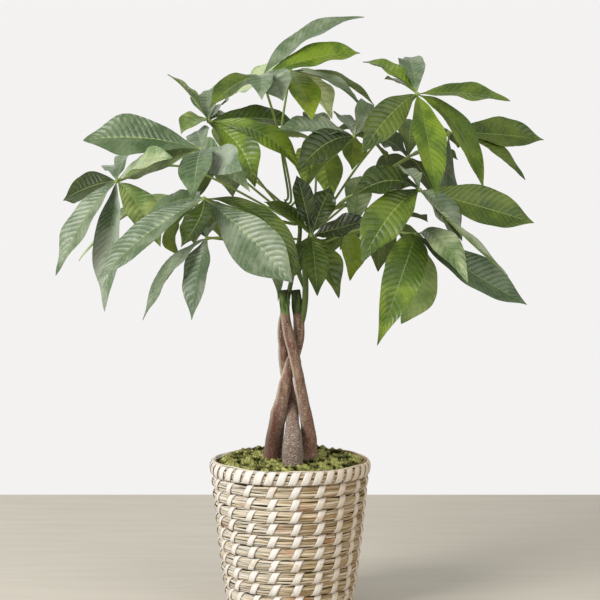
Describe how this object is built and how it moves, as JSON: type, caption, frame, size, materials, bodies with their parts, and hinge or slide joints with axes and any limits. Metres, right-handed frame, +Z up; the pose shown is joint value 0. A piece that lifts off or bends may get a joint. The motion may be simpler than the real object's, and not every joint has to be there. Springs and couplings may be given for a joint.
{
  "type": "potted money tree",
  "caption": "Braided-trunk house plant with hand-shaped compound leaves, standing in a stitched seagrass basket planter topped with moss.",
  "frame": {"origin": "middle of the basket's flat underside, on the surface that it stands on", "axes": "+Z up along the trunks, +X to the right and +Y away from the viewer as the picture shows the plant"},
  "size_m": [0.5155, 0.3327, 0.6229],
  "materials": {
    "seagrass": "dry twisted grass, matt, straw to olive brown",
    "strip": "bleached leaf strip, off-white, matt",
    "plastic": "black nursery pot",
    "soil": "moist potting soil",
    "moss": "preserved sheet moss, lumpy, yellow green",
    "bark": "smooth grey-brown bark with pale specks, green near the top",
    "leaf": "leathery green leaf, satin above, paler below"
  },
  "bodies": {
    "root": {"basket": "seagrass", "stitching": "strip", "liner": "plastic", "soil": "soil", "moss": "moss", "trunk_1": "bark", "trunk_2": "bark", "trunk_3": "bark", "leaf_a": "leaf", "leaf_b": "leaf", "leaf_c": "leaf", "leaf_d": "leaf", "leaf_e": "leaf", "leaf_f": "leaf", "leaf_g": "leaf", "leaf_h": "leaf", "leaf_i": "leaf", "leaf_j": "leaf", "leaf_k": "leaf", "leaf_l": "leaf", "leaf_m": "leaf", "leaf_n": "leaf", "leaf_p": "leaf", "leaf_q": "leaf", "leaf_r": "leaf", "leaf_s": "leaf", "leaf_t": "leaf"}
  },
  "joints": []
}
